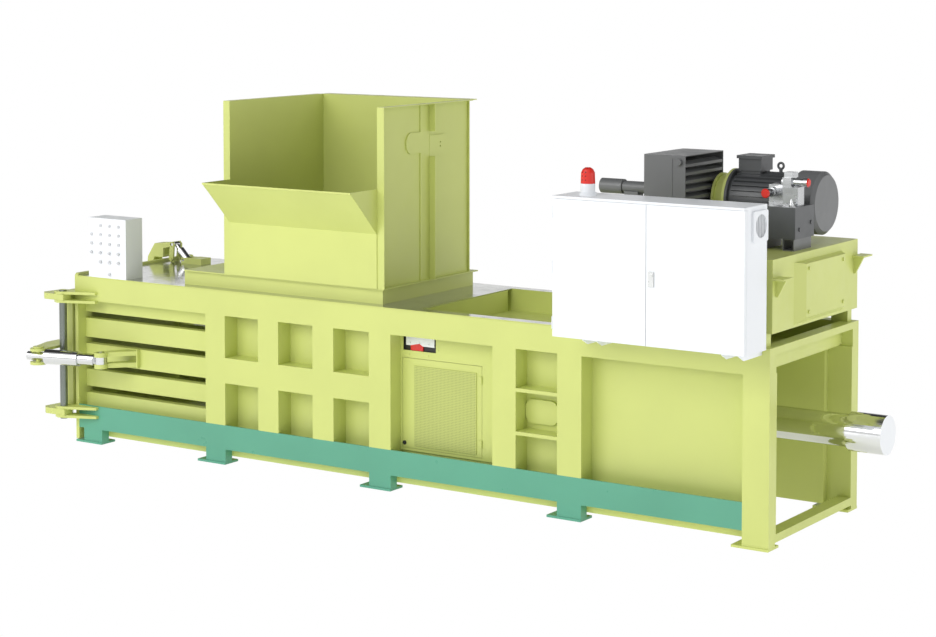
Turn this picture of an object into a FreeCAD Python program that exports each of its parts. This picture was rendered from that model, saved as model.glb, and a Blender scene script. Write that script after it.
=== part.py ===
import FreeCAD, Part
import Sketcher
import math
import os

# Recycling baler. Millimetres, +Z up, floor at Z = 0. X runs along the press from the discharge
# door (-X) to the cylinder end (+X), and the control side faces -Y.

doc = FreeCAD.newDocument("RecyclingBaler")
V = FreeCAD.Vector

# ---------------------------------------------------------------- driving sizes
SIZES = [
    ("body_len", 4443, "length over the two end faces"),
    ("body_wid", 1020, "width over the posts"),
    ("leg_h", 85, "foot height under the rail"),
    ("rail_h", 135, "base rail height"),
    ("post_h", 612, "post height"),
    ("beam_h", 134, "top beam height"),
    ("beam_d", 70, "top beam depth"),
    ("deck_t", 6, "deck plate thickness"),
    ("post_w", 140, "post width"),
    ("recess", 109, "depth from post face to side skin"),
    ("skin_t", 8, "side skin thickness"),
    ("wall", 6, "wall of the rolled sections"),
    ("flange_t", 23, "end flange thickness"),
    ("post_first", 1056.5, "first post from the flange"),
    ("post_pitch", 375.5, "pitch of the first four posts"),
    ("post_five", 2961, "fifth post from the flange"),
    ("post_six", 3346.5, "sixth post from the flange"),
    ("floor_t", 15, "chamber floor thickness"),
    ("slot_h", 38, "wire slot height"),
    ("feed_x", 1126, "feed opening from the flange"),
    ("feed_len", 1004, "feed opening length"),
    ("hop_in", 55, "hopper near face inside the post face"),
    ("hop_top", 2018, "hopper top"),
    ("chute_z", 1352, "foot of the sloped chute"),
    ("lip_out", 238, "reach of the chute"),
    ("lip_up", 233, "rise of the chute"),
    ("sheet_t", 5, "hopper sheet thickness"),
    ("rim", 45, "hopper flange width"),
    ("door_t", 46, "discharge door thickness"),
    ("door_gap", 22, "gap between door and flange"),
    ("hinge_x", 30, "door hinge ahead of the flange"),
    ("hinge_y", 68, "door hinge outside the post face"),
    ("hinge_r", 22, "hinge shaft radius"),
    ("slip", 0.3, "side play of a hinge"),
    ("run", 0.05, "running clearance on a radius"),
    ("lug_x", 104, "door cylinder pin on the door, ahead of the flange"),
    ("lug_y", 197, "door cylinder pin on the door, outside the post face"),
    ("anchor_x", 295, "door cylinder pin on the wall, behind the flange"),
    ("anchor_y", 102, "door cylinder pin on the wall, outside the post face"),
    ("cyl_z", 517, "door cylinder height"),
    ("claw_y", 260, "lock centre from the centre line"),
    ("claw_w", 80, "width over the claw plates"),
    ("claw_t", 12, "claw plate thickness"),
    ("claw_px", 93, "claw pivot behind the flange"),
    ("claw_bx", 188, "lock cylinder foot behind the flange"),
    ("claw_rx", 100, "lock rod pin behind the flange"),
    ("claw_rz", 88, "lock rod pin above the claw pivot"),
    ("ram_x", 2223, "ram face from the flange"),
    ("ram_len", 1110, "ram length"),
    ("press_t", 30, "press plate thickness"),
    ("axis_z", 512, "main cylinder height"),
    ("barrel_r", 80, "main barrel radius"),
    ("bore_r", 65, "main cylinder bore radius"),
    ("rod_r", 45, "main piston rod radius"),
    ("mount_x", 3418, "cylinder crosshead from the flange"),
    ("mount_t", 40, "crosshead thickness"),
    ("barrel_end", 4638, "barrel end from the flange"),
    ("head_end", 4822, "rear head end from the flange"),
    ("tank_x", 3278, "tank from the flange"),
    ("tank_in", 22, "tank sides inside the post faces"),
    ("tank_z", 1033, "tank underside"),
    ("tank_h", 351, "tank height"),
    ("motor_y", 225, "motor axis from the centre line"),
    ("motor_z", 1584, "motor axis height"),
    ("motor_r", 128, "motor frame radius under the fins"),
    ("fin_h", 15, "motor fin height"),
    ("cowl_r", 158, "fan cowl radius"),
    ("cab_x", 3410, "cabinet from the flange"),
    ("cab_len", 1031, "cabinet length"),
    ("cab_near", 267, "cabinet front outside the post face"),
    ("cab_depth", 229, "cabinet depth"),
    ("cab_z", 967, "cabinet underside"),
    ("cab_h", 687, "cabinet height"),
    ("box_x", 110, "control box from the flange"),
    ("box_len", 287, "control box length"),
    ("box_near", 2, "control box front inside the post face"),
    ("box_depth", 139, "control box depth"),
    ("box_h", 344, "control box height"),
    ("key_pitch_x", 69, "column pitch of the controls"),
    ("key_pitch_z", 52, "row pitch of the controls"),
    ("key_r", 8, "push-button radius"),
]

sheet = doc.addObject("Spreadsheet::Sheet", "Sizes")
for row, (alias, value, note) in enumerate(SIZES, start=1):
    sheet.set("A%d" % row, str(value))
    sheet.setAlias("A%d" % row, alias)
    sheet.set("B%d" % row, note)
doc.recompute()


class Dim:
    """A length that carries its value and the spreadsheet formula that drives it."""

    def __init__(self, value, text):
        self.value = float(value)
        self.text = text

    def __add__(self, other):
        other = dim(other)
        return Dim(self.value + other.value, "(%s + %s)" % (self.text, other.text))

    def __sub__(self, other):
        other = dim(other)
        return Dim(self.value - other.value, "(%s - %s)" % (self.text, other.text))

    def __mul__(self, factor):
        return Dim(self.value * factor, "%s * %s" % (self.text, factor))

    def __truediv__(self, factor):
        return Dim(self.value / factor, "%s / %s" % (self.text, factor))

    def __neg__(self):
        return Dim(-self.value, "(0 - %s)" % self.text)

    __radd__ = __add__
    __rmul__ = __mul__

    def __rsub__(self, other):
        return dim(other) - self


def dim(value):
    """Wraps a plain number, and passes a Dim through."""
    if isinstance(value, Dim):
        return value
    return Dim(value, repr(float(value)))


def hypot(a, b):
    """Length of a line with legs a and b."""
    return Dim(math.hypot(a.value, b.value), "sqrt(%s ^ 2 + %s ^ 2)" % (a.text, b.text))


class Table:
    """The spreadsheet's sizes, one attribute for each alias."""


s = Table()
for alias, value, note in SIZES:
    setattr(s, alias, Dim(value, "Sizes." + alias))

# ---------------------------------------------------------------- shared levels and planes
front = -s.body_len / 2
rear = s.body_len / 2
half = s.body_wid / 2
rail_lo = s.leg_h
rail_hi = rail_lo + s.rail_h
beam_lo = rail_hi + s.post_h
deck_lo = beam_lo + s.beam_h
deck = deck_lo + s.deck_t
skin_out = half - s.recess
skin_in = skin_out - s.skin_t
beam_in = half - s.beam_d
floor_top = rail_hi + s.floor_t
first_edge = front + s.post_first - s.post_w / 2
feed_lo = front + s.feed_x
feed_hi = feed_lo + s.feed_len
plate_in = front + s.flange_t
end_post = rear - s.post_w / 2
posts_x = [front + s.post_first + s.post_pitch * n for n in range(4)]
posts_x += [front + s.post_five, front + s.post_six]
tank_top = s.tank_z + s.tank_h
tank_lo = front + s.tank_x
tank_side = half - s.tank_in
floor_end = front + s.mount_x + s.mount_t
bulk_x = feed_hi + 271


# ---------------------------------------------------------------- modelling helpers
def bind(obj, prop, value):
    """Drives one property of an object with a Dim or a number."""
    obj.setExpression(prop, dim(value).text)


def place(obj, at):
    """Puts an object at a point given with Dims."""
    for key, value in zip("xyz", at):
        bind(obj, ".Placement.Base." + key, value)
    return obj


def box(name, x, y, z):
    """A block given by its two limits along each axis."""
    obj = doc.addObject("Part::Box", name)
    for key, limits in zip(("Length", "Width", "Height"), (x, y, z)):
        bind(obj, key, dim(limits[1]) - dim(limits[0]))
    return place(obj, (x[0], y[0], z[0]))


TURN = {"X": V(0, 1, 0), "Y": V(-1, 0, 0), "Z": None}


def rod(name, axis, radius, lo, hi, at):
    """A cylinder along an axis between two limits, through the other two coordinates in at."""
    obj = doc.addObject("Part::Cylinder", name)
    bind(obj, "Radius", radius)
    bind(obj, "Height", dim(hi) - dim(lo))
    if TURN[axis] is not None:
        obj.Placement = FreeCAD.Placement(V(0, 0, 0), FreeCAD.Rotation(TURN[axis], 90))
    a, b = at
    spots = {"X": (lo, a, b), "Y": (a, lo, b), "Z": (a, b, lo)}
    return place(obj, spots[axis])


PLANES = {"XY": ("XY_Plane", "z", False), "XZ": ("XZ_Plane", "y", True), "YZ": ("YZ_Plane", "x", False)}


def origin_part(body, role):
    """A datum plane or axis of a body's own origin."""
    return [o for o in body.Origin.OriginFeatures if getattr(o, "Role", "") == role][0]


def sketch_on(body, name, plane):
    """An empty sketch on one of the body's planes."""
    sketch = body.newObject("Sketcher::SketchObject", name)
    sketch.AttachmentSupport = (origin_part(body, PLANES[plane][0]), "")
    sketch.MapMode = "FlatFace"
    return sketch


def tie(sketch, kind, geo, spot, value):
    """Fixes one coordinate of a sketch point to a Dim."""
    value = dim(value)
    if value.text in ("0.0", "-0.0"):
        axis = -2 if kind == "DistanceX" else -1
        sketch.addConstraint(Sketcher.Constraint("PointOnObject", geo, spot, axis))
        return
    number = sketch.addConstraint(Sketcher.Constraint(kind, -1, 1, geo, spot, value.value))
    sketch.setExpression("Constraints[%d]" % number, value.text)


def draw_loop(sketch, points):
    """A closed outline whose corners are all dimensioned from the origin."""
    first = sketch.GeometryCount
    count = len(points)
    flat = [V(dim(a).value, dim(b).value, 0) for a, b in points]
    for n in range(count):
        sketch.addGeometry(Part.LineSegment(flat[n], flat[(n + 1) % count]))
    for n in range(count):
        nxt = first + (n + 1) % count
        sketch.addConstraint(Sketcher.Constraint("Coincident", first + n, 2, nxt, 1))
    for n, (a, b) in enumerate(points):
        tie(sketch, "DistanceX", first + n, 1, a)
        tie(sketch, "DistanceY", first + n, 1, b)


def draw_circle(sketch, centre, radius):
    """A circle with its centre and radius dimensioned."""
    a, b = centre
    geo = sketch.addGeometry(Part.Circle(V(dim(a).value, dim(b).value, 0), V(0, 0, 1), dim(radius).value))
    tie(sketch, "DistanceX", geo, 3, a)
    tie(sketch, "DistanceY", geo, 3, b)
    number = sketch.addConstraint(Sketcher.Constraint("Radius", geo, dim(radius).value))
    sketch.setExpression("Constraints[%d]" % number, dim(radius).text)


def prism(name, plane, loops, lo, hi, discs=(), bores=(), corners=None):
    """A padded outline from lo to hi along the plane's normal, with lugs, bores and round corners.

    loops is the outline and any inner outlines, discs adds round lugs, bores cuts round holes, and
    corners maps a radius to the outline points that get it.
    """
    body = doc.addObject("PartDesign::Body", name)
    role, key, flip = PLANES[plane]
    sketch = sketch_on(body, name + "_outline", plane)
    for loop in loops:
        draw_loop(sketch, loop)
    pad = body.newObject("PartDesign::Pad", name + "_pad")
    pad.Profile = sketch
    pad.Reversed = flip
    bind(pad, "Length", dim(hi) - dim(lo))
    sketch.Visibility = False
    for n, (centre, radius) in enumerate(discs):
        lug_sketch = sketch_on(body, "%s_lug_outline%d" % (name, n), plane)
        draw_circle(lug_sketch, centre, radius)
        lug = body.newObject("PartDesign::Pad", "%s_lug%d" % (name, n))
        lug.Profile = lug_sketch
        lug.Reversed = flip
        bind(lug, "Length", dim(hi) - dim(lo))
    if bores:
        hole_sketch = sketch_on(body, name + "_bore_outline", plane)
        for centre, radius in bores:
            draw_circle(hole_sketch, centre, radius)
        hole = body.newObject("PartDesign::Pocket", name + "_bores")
        hole.Profile = hole_sketch
        hole.Type = "ThroughAll"
        hole.Midplane = True
    bind(body, ".Placement.Base." + key, lo)
    if corners:
        round_corners(body, plane, corners)
    return body


def round_corners(body, plane, corners):
    """Fillets the edges that run along the plane's normal at the given outline points."""
    doc.recompute()
    drop = {"XY": 2, "XZ": 1, "YZ": 0}[plane]
    for n, (radius, points) in enumerate(corners):
        tip = body.Tip
        names = []
        for number, edge in enumerate(tip.Shape.Edges, start=1):
            if len(edge.Vertexes) != 2:
                continue
            a, b = [list(v.Point) for v in edge.Vertexes]
            del a[drop]
            del b[drop]
            for p in points:
                spot = [dim(p[0]).value, dim(p[1]).value]
                if math.dist(a, spot) < 0.01 and math.dist(b, spot) < 0.01:
                    names.append("Edge%d" % number)
        fillet = body.newObject("PartDesign::Fillet", "%s_round%d" % (body.Name, n))
        fillet.Base = (tip, names)
        bind(fillet, "Radius", radius)
        doc.recompute()


def turned(name, axis, profile, at):
    """A part turned about an axis from (along, radius) points, placed at a point."""
    body = doc.addObject("PartDesign::Body", name)
    plane = {"X": "XZ", "Y": "XY", "Z": "XZ"}[axis]
    sketch = sketch_on(body, name + "_profile", plane)
    points = [(a, r) if axis == "X" else (r, a) for a, r in profile]
    draw_loop(sketch, points)
    spin = body.newObject("PartDesign::Revolution", name + "_turned")
    spin.Profile = sketch
    spin.ReferenceAxis = (origin_part(body, axis + "_Axis"), [""])
    spin.Angle = 360
    return place(body, at)


def group(name, members):
    """Separate solids that make one named piece."""
    obj = doc.addObject("Part::Compound", name)
    obj.Links = members
    return obj


def joined(name, members):
    """Members welded into one solid."""
    obj = doc.addObject("Part::MultiFuse", name)
    obj.Shapes = members
    return obj


def minus(name, base, tools):
    """A base with one tool, or several joined tools, cut away."""
    tool = tools[0] if len(tools) == 1 else joined(name + "_tools", tools)
    obj = doc.addObject("Part::Cut", name)
    obj.Base = base
    obj.Tool = tool
    return obj


def mirrored(name, source):
    """A copy of a piece on the far side of the press centre plane."""
    obj = doc.addObject("Part::Mirroring", name)
    obj.Source = source
    obj.Base = V(0, 0, 0)
    obj.Normal = V(0, 1, 0)
    return obj


def tube(name, x, y, z, along, wall):
    """A square hollow section with its ends open along one axis."""
    limits = {"X": (y, z), "Y": (x, z), "Z": (x, y)}[along]
    (a0, a1), (b0, b1) = limits
    outer = [(a0, b0), (a1, b0), (a1, b1), (a0, b1)]
    a2, a3, b2, b3 = dim(a0) + wall, dim(a1) - wall, dim(b0) + wall, dim(b1) - wall
    inner = [(a2, b2), (a3, b2), (a3, b3), (a2, b3)]
    plane = {"X": "YZ", "Y": "XZ", "Z": "XY"}[along]
    span = {"X": x, "Y": y, "Z": z}[along]
    return prism(name, plane, [outer, inner], span[0], span[1])


nodes = []


def node(name, obj):
    """Marks an object as one finished piece of the baler."""
    obj.Label = name
    nodes.append(obj)
    return obj


# ---------------------------------------------------------------- press frame
flange_top = deck + 13
flange_lo = 16
flange_loop = [(-half, flange_lo), (half, flange_lo), (half, flange_top), (-half, flange_top)]
mouth_loop = [(-skin_in, floor_top), (skin_in, floor_top), (skin_in, beam_lo), (-skin_in, beam_lo)]
flange = prism(
    "end_flange_plate", "YZ", [flange_loop, mouth_loop], front, plate_in,
    corners=[(20, [flange_loop[2], flange_loop[3]])],
)
node("discharge_flange", flange)

# Tie beams of the press section, with a wire slot between each pair.
slot_mids = [300, 436, 587, 736]
tie_levels = [(rail_lo + 10, dim(slot_mids[0]) - s.slot_h / 2)]
for low, high in zip(slot_mids, slot_mids[1:]):
    tie_levels.append((dim(low) + s.slot_h / 2, dim(high) - s.slot_h / 2))
tie_levels.append((dim(slot_mids[3]) + s.slot_h / 2, beam_lo))
tie_out = half - 65
ties = []
for n, (lo, hi) in enumerate(tie_levels):
    near = tube("tie_near%d" % n, (plate_in, first_edge), (-tie_out, -skin_in), (lo, hi), "X", 8)
    ties += [near, mirrored("tie_far%d" % n, near)]
node("tie_beams", group("tie_beam_set", ties))

beam_tube = tube("beam_tube", (plate_in, rear), (-half, -beam_in), (beam_lo, deck_lo), "X", s.wall)
beam_cap = box("beam_cap", (rear - s.wall, rear), (-half + 3, -beam_in - 3), (beam_lo + 3, deck_lo - 3))
beam_near = joined("beam_near", [beam_tube, beam_cap])
node("top_beams", group("top_beam_pair", [beam_near, mirrored("beam_far", beam_near)]))

# Every post narrows at its foot, where it stands inside the angle of the base rail.
web = 10
posts = []
for n, mid in enumerate(posts_x):
    span = (mid - s.post_w / 2, mid + s.post_w / 2)
    shaft = tube("post_shaft%d" % n, span, (-half, -skin_out), (rail_hi, beam_lo), "Z", s.wall)
    foot = tube("post_foot%d" % n, span, (-half + web, -skin_out), (rail_lo + web, rail_hi + 8), "Z", s.wall)
    near = joined("post_near%d" % n, [shaft, foot])
    posts += [near, mirrored("post_far%d" % n, near)]
end_span = (end_post - s.post_w / 2, rear)
end_tube = tube("end_post_tube", end_span, (-half, -beam_in), (12, beam_lo), "Z", s.wall)
end_sole = box("end_sole", (end_post - 125, rear), (-half - 5, -skin_out), (0, 12))
near = joined("end_post_near", [end_tube, end_sole])
posts += [near, mirrored("end_post_far", near)]
node("posts", group("post_set", posts))

rungs = []
rung_lo = rail_hi + 236
for n in range(3):
    span = (posts_x[n] + s.post_w / 2, posts_x[n + 1] - s.post_w / 2)
    level = (rung_lo, rung_lo + 141)
    near = tube("rung_near%d" % n, span, (-half, -skin_out), level, "X", s.wall)
    rungs += [near, mirrored("rung_far%d" % n, near)]
bay_five = (posts_x[4] + s.post_w / 2, posts_x[5] - s.post_w / 2)
for n, low in enumerate((173, 394)):
    near = box("rib_near%d" % n, bay_five, (-half, -skin_out), (rail_hi + low, rail_hi + low + 18))
    rungs += [near, mirrored("rib_far%d" % n, near)]
node("middle_rails", group("middle_rail_set", rungs))

# Side skins step down behind the feed section, where the cylinder trough is open, and step out
# to the end posts at the cylinder end.
skin_hi = deck - 130
skin_end = rear - s.post_w
skin_low = 30
skin_loop = [
    (first_edge, rail_lo), (floor_end, rail_lo), (floor_end, skin_low), (skin_end, skin_low),
    (skin_end, skin_hi), (bulk_x, skin_hi), (bulk_x, deck_lo), (first_edge, deck_lo),
]
skin_near = prism("skin_near", "XZ", [skin_loop], -skin_out, -skin_in)
cheek_step = box("cheek_step", (skin_end, skin_end + 8), (-beam_in, -skin_in), (skin_low, skin_hi))
cheek_flat = box("cheek_flat", (skin_end, rear), (-beam_in, -beam_in + 8), (skin_low, skin_hi))
cheek_near = joined("cheek_near", [cheek_step, cheek_flat])
skins = [skin_near, mirrored("skin_far", skin_near), cheek_near, mirrored("cheek_far", cheek_near)]
node("side_skins", group("side_skin_pair", skins))

# Base rails are angles with their back to the outside, above a recessed sill.
rail_loop = [
    (-half, rail_lo), (-skin_out, rail_lo), (-skin_out, rail_lo + web), (-half + web, rail_lo + web),
    (-half + web, rail_hi), (-half, rail_hi),
]
rail_near = prism("rail_near", "YZ", [rail_loop], plate_in, skin_end)
sill_near = box("sill_near", (plate_in, skin_end), (-half + 57, -half + 67), (rail_lo - 46, rail_lo))
rails = [rail_near, mirrored("rail_far", rail_near), sill_near, mirrored("sill_far", sill_near)]
node("base_rails", group("base_rail_set", rails))

feet_x = [front + 131.5, posts_x[0], posts_x[3], posts_x[5]]
feet = []
for n, mid in enumerate(feet_x):
    span = (mid - s.post_w / 2, mid + s.post_w / 2)
    pad_span = (mid - 128, mid + 70)
    leg = tube("leg%d" % n, span, (-half, -half + 56.7), (12, rail_lo), "Z", s.wall)
    sole = box("sole%d" % n, pad_span, (-half - 5, -skin_out), (0, 12))
    foot = joined("foot_near%d" % n, [leg, sole])
    feet += [foot, mirrored("foot_far%d" % n, foot)]
node("feet", group("foot_set", feet))

bearers = []
bearer_mids = [front + 150, front + 600] + posts_x
for n, mid in enumerate(bearer_mids):
    span = (mid - 40, mid + 40)
    bearers.append(tube("bearer%d" % n, span, (-skin_in, skin_in), (rail_hi - 100, rail_hi), "Y", s.wall))
floor_plate = box("floor_plate", (plate_in, floor_end), (-skin_in, skin_in), (rail_hi, floor_top))
node("chamber_floor", group("floor_set", [floor_plate] + bearers))

# Roof of the press chamber: a plate on the upper tie beams with box tubes up to the deck.
roof_level = (beam_lo, beam_lo + 10)
roof_wide = box("roof_wide", (plate_in, first_edge), (-beam_in, beam_in), roof_level)
roof_narrow = box("roof_narrow", (first_edge, feed_lo), (-skin_in, skin_in), roof_level)
roof = [joined("roof_plate", [roof_wide, roof_narrow])]
for n, share in enumerate((-0.84, -0.28, 0.28, 0.84)):
    mid = skin_in * share
    level = (beam_lo + 10, deck_lo)
    roof.append(tube("roof_tube%d" % n, (plate_in, feed_lo), (mid - 35, mid + 35), level, "X", s.wall))
node("roof_beams", group("roof_set", roof))

# The deck plate carries on as a strip along both top beams, beside the open trough.
hop_far = skin_in
deck_loop = [
    (plate_in, -half + 3), (tank_lo, -half + 3), (tank_lo, -beam_in), (bulk_x, -beam_in),
    (bulk_x, beam_in), (tank_lo, beam_in), (tank_lo, half - 3), (plate_in, half - 3),
]
feed_loop = [(feed_lo, -skin_in), (feed_hi, -skin_in), (feed_hi, hop_far), (feed_lo, hop_far)]
node("top_plate", prism("deck_plate", "XY", [deck_loop, feed_loop], deck_lo, deck))

cover_lo = skin_hi
shear = tube("shear_beam", (feed_hi, feed_hi + 80), (-skin_in, skin_in), (beam_lo, deck_lo), "Y", s.wall)
bulkhead = box("bulkhead_plate", (bulk_x - 10, bulk_x), (-skin_in, skin_in), (cover_lo, deck_lo))
cover = box("cover_plate", (bulk_x, rear - s.beam_d), (-beam_in, beam_in), (cover_lo, cover_lo + 8))
ceiling = box("ram_ceiling", (feed_hi + 80, bulk_x), (-skin_in, skin_in), (cover_lo - 8, cover_lo))
node("ram_cover", group("ram_cover_set", [shear, bulkhead, cover, ceiling]))

lip_x = rear - s.beam_d
upper_loop = [
    (lip_x, deck_lo - 35), (lip_x, cover_lo + 8), (lip_x + 10, cover_lo + 8), (lip_x + 10, deck_lo - 35),
    (rear, deck_lo - 35), (rear, deck_lo), (lip_x, deck_lo),
]
upper = prism("upper_crossbeam", "XZ", [upper_loop], -beam_in, beam_in)
lower = box("lower_crossbeam", (rear - 75, rear), (-beam_in + 8, beam_in - 8), (skin_low, 70))
node("end_crossbeams", group("end_crossbeam_set", [upper, lower]))

# ---------------------------------------------------------------- main cylinder and ram
mount_lo = front + s.mount_x
mount_hi = mount_lo + s.mount_t
barrel_gap = s.barrel_r + 0.2
mount_loop = [(-skin_in, floor_top), (skin_in, floor_top), (skin_in, skin_hi), (-skin_in, skin_hi)]
crosshead = prism(
    "crosshead_plate", "YZ", [mount_loop], mount_lo, mount_hi, bores=[((0, s.axis_z), barrel_gap)]
)
node("cylinder_mount", crosshead)

head_x = s.barrel_end
head_lo = s.mount_x - 40
gland_r = s.rod_r + s.run
cyl_profile = [
    (front + head_lo, gland_r), (front + head_lo, 120), (mount_lo, 120), (mount_lo, s.barrel_r),
    (front + head_x, s.barrel_r), (front + head_x, s.barrel_r + 16), (front + s.head_end, s.barrel_r + 16),
    (front + s.head_end, 0), (front + s.head_end - 45, 0), (front + s.head_end - 45, s.bore_r),
    (front + head_lo + 90, s.bore_r), (front + head_lo + 90, gland_r),
]
node("main_cylinder", turned("cylinder_body", "X", cyl_profile, (0, 0, s.axis_z)))

ram_lo = front + s.ram_x
ram_hi = ram_lo + s.ram_len
ram_bot = floor_top + s.slip
ram_top = beam_lo - 1
ram_half = skin_in - 5
press_loop = [(-ram_half, ram_bot), (ram_half, ram_bot), (ram_half, ram_top), (-ram_half, ram_top)]
press_plate = prism(
    "press_plate", "YZ", [press_loop], ram_lo, ram_lo + s.press_t,
    corners=[(12, press_loop)],
)
shell_x = (ram_lo + s.press_t, ram_hi)
ram_shell = tube("ram_shell", shell_x, (-ram_half, ram_half), (ram_bot, ram_top), "X", 16)
node("ram", joined("ram_body", [press_plate, ram_shell]))

piston_x = front + s.head_end - 82
rod_profile = [
    (ram_lo + s.press_t, 0), (ram_lo + s.press_t, 90), (ram_lo + s.press_t + 30, 90),
    (ram_lo + s.press_t + 30, s.rod_r), (piston_x, s.rod_r), (piston_x, s.bore_r - s.run),
    (piston_x + 36, s.bore_r - s.run), (piston_x + 36, 0),
]
node("piston_rod", turned("rod_body", "X", rod_profile, (0, 0, s.axis_z)))

# ---------------------------------------------------------------- discharge door and its hinge
hx = front - s.hinge_x
hy = -half - s.hinge_y
top_strap = (beam_lo + 3 + s.slip, beam_lo + 38 - s.slip)
low_strap = (rail_lo + 80 + s.slip, rail_lo + 115 - s.slip)
ear_levels = [
    (top_strap[0] - s.slip - 15, top_strap[0] - s.slip), (top_strap[1] + s.slip, top_strap[1] + s.slip + 15),
    (low_strap[0] - s.slip - 15, low_strap[0] - s.slip), (low_strap[1] + s.slip, low_strap[1] + s.slip + 15),
]
ear_loop = [
    (front, -half), (hx - 47, hy + 18), (hx - 47, hy - 22), (hx - 12, hy - 40),
    (front + 176, -half - 21), (front + 176, -half),
]
ears = []
for n, (lo, hi) in enumerate(ear_levels):
    ears.append(prism("ear%d" % n, "XY", [ear_loop], lo, hi, bores=[((hx, hy), s.hinge_r)]))

ax = front - s.lug_x
ay = -half - s.lug_y
dx = front + s.anchor_x
dy = -half - s.anchor_y
eye_h = 40
fork_t = 25
fork_levels = [
    (s.cyl_z - eye_h / 2 - s.slip - fork_t, s.cyl_z - eye_h / 2 - s.slip),
    (s.cyl_z + eye_h / 2 + s.slip, s.cyl_z + eye_h / 2 + s.slip + fork_t),
]
base_hi = front + 443
fork_loop = [
    (dx - 20, dy - 34), (base_hi, -tie_out - 18), (base_hi, -tie_out), (dx + 60, -tie_out),
    (dx - 30, dy + 30),
]
brackets = []
for n, (lo, hi) in enumerate(fork_levels):
    fork = prism("fork%d" % n, "XY", [fork_loop], lo, hi, discs=[((dx, dy), 38)], bores=[((dx, dy), 24)])
    brackets.append(fork)
fork_base = box("fork_base", (base_hi - 8, base_hi), (-tie_out - 26, -tie_out), (s.cyl_z - 51, s.cyl_z + 51))
bracket = joined("fork_bracket", brackets + [fork_base])
shaft_lo = ear_levels[2][0] - 8
shaft_hi = ear_levels[1][1] + 8
shaft = rod("hinge_bar", "Z", s.hinge_r, shaft_lo, shaft_hi, (hx, hy))
node("hinge_brackets", group("hinge_bracket_set", [joined("hinge_pillar", ears + [shaft]), bracket]))

# The door is a thick plate with a ribbed outer face, and a latch lug for the claw on its top edge.
door_in = front - s.door_gap
door_out = door_in - s.door_t
door_lo = rail_lo + 105
door_hi = beam_lo + 48
door_far = half - 60
door_back = box("door_back", (door_in - 16, door_in), (-half, door_far), (door_lo, door_hi))
door_parts = [door_back]
rib_x = (door_out, door_in - 16)
bar_levels = (
    (door_lo, door_lo + 60), (door_lo + 200, door_lo + 240), (door_hi - 265, door_hi - 225),
    (door_hi - 60, door_hi),
)
for n, (lo, hi) in enumerate(bar_levels):
    door_parts.append(box("door_bar%d" % n, rib_x, (-half, door_far), (lo, hi)))
for n, (lo, hi) in enumerate(((-half, -half + 95), (-20, 20), (door_far - 60, door_far))):
    door_parts.append(box("door_stile%d" % n, rib_x, (lo, hi), (door_lo, door_hi)))
latch = box("latch_lug", (door_out, door_out + 22), (s.claw_y - 24, s.claw_y + 24), (door_hi, deck - 27))
strap_loop = [
    (hx + 34, hy - 34), (hx - 110, hy - 37), (hx - 148, hy - 4), (hx - 133, hy + 112), (hx - 59, hy + 161),
    (door_out, hy + 161), (door_out, -half), (door_in, -half), (hx + 36, hy + 30),
]
straps = []
arms = []
for n, (lo, hi) in enumerate((low_strap, top_strap)):
    strap = prism(
        "strap%d" % n, "XY", [strap_loop], lo, hi, bores=[((hx, hy), s.hinge_r + s.run)],
        corners=[(14, [strap_loop[1], strap_loop[2], strap_loop[3]])],
    )
    straps.append(strap)
arm_gap = 63
arm_loop = [
    (door_out, -half + 115), (door_out - 149, -half + 99), (door_out - 149, -half - 14),
    (ax - 45, ay - 8), (ax + 44, ay + 12), (door_out - 2, -half - 50), (door_out, -half - 20),
]
for n, (lo, hi) in enumerate(((s.cyl_z - arm_gap / 2 - 15, s.cyl_z - arm_gap / 2),
                              (s.cyl_z + arm_gap / 2, s.cyl_z + arm_gap / 2 + 15))):
    arms.append(prism("arm%d" % n, "XY", [arm_loop], lo, hi, discs=[((ax, ay), 47)], bores=[((ax, ay), 14)]))
pin_head = rod("arm_boss", "Z", 30, s.cyl_z + arm_gap / 2 + 15, s.cyl_z + arm_gap / 2 + 25, (ax, ay))
arm_pin = rod("arm_pin", "Z", 14, s.cyl_z - arm_gap / 2 - 20, s.cyl_z + arm_gap / 2 + 25, (ax, ay))
door_plate = joined("door_plate", door_parts)
door_arms = joined("door_arms", arms + [pin_head, arm_pin])
node("discharge_door", group("door_body", [door_plate, latch, door_arms] + straps))

# Door cylinder, modelled along X at the origin and then swung onto its two pins.
pin_dx = dx - ax
pin_dy = dy - ay
pin_span = hypot(pin_dx, pin_dy)
tilt_text = "atan2(%s; %s)" % (pin_dy.text, pin_dx.text)


def swing(obj, at, text):
    """Turns a piece about Z by a formula and moves its origin to a point."""
    obj.Placement = FreeCAD.Placement(V(0, 0, 0), FreeCAD.Rotation(V(0, 0, 1), 10))
    obj.setExpression(".Placement.Rotation.Angle", text)
    return place(obj, at)


ram_tube_lo = 54
ram_tube_hi = 270
eye = rod("door_cyl_eye", "X", 24.5, -66, ram_tube_lo, (0, 0))
tube_profile = [
    (ram_tube_lo, 0), (ram_tube_lo, 43), (ram_tube_hi, 43), (ram_tube_hi, s.slip + 34),
    (ram_tube_hi - 30, s.slip + 34), (ram_tube_hi - 30, 38), (ram_tube_lo + 20, 38), (ram_tube_lo + 20, 0),
]
door_tube = turned("door_cyl_tube", "X", tube_profile, (0, 0, 0))
eye_hole = rod("door_cyl_hole", "Z", 14 + s.run, -60, 60, (0, 0))
door_barrel = minus("door_cyl_barrel", joined("door_cyl_weld", [eye, door_tube]), [eye_hole])
node("door_barrel", swing(door_barrel, (ax, ay, s.cyl_z), tilt_text))

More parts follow.
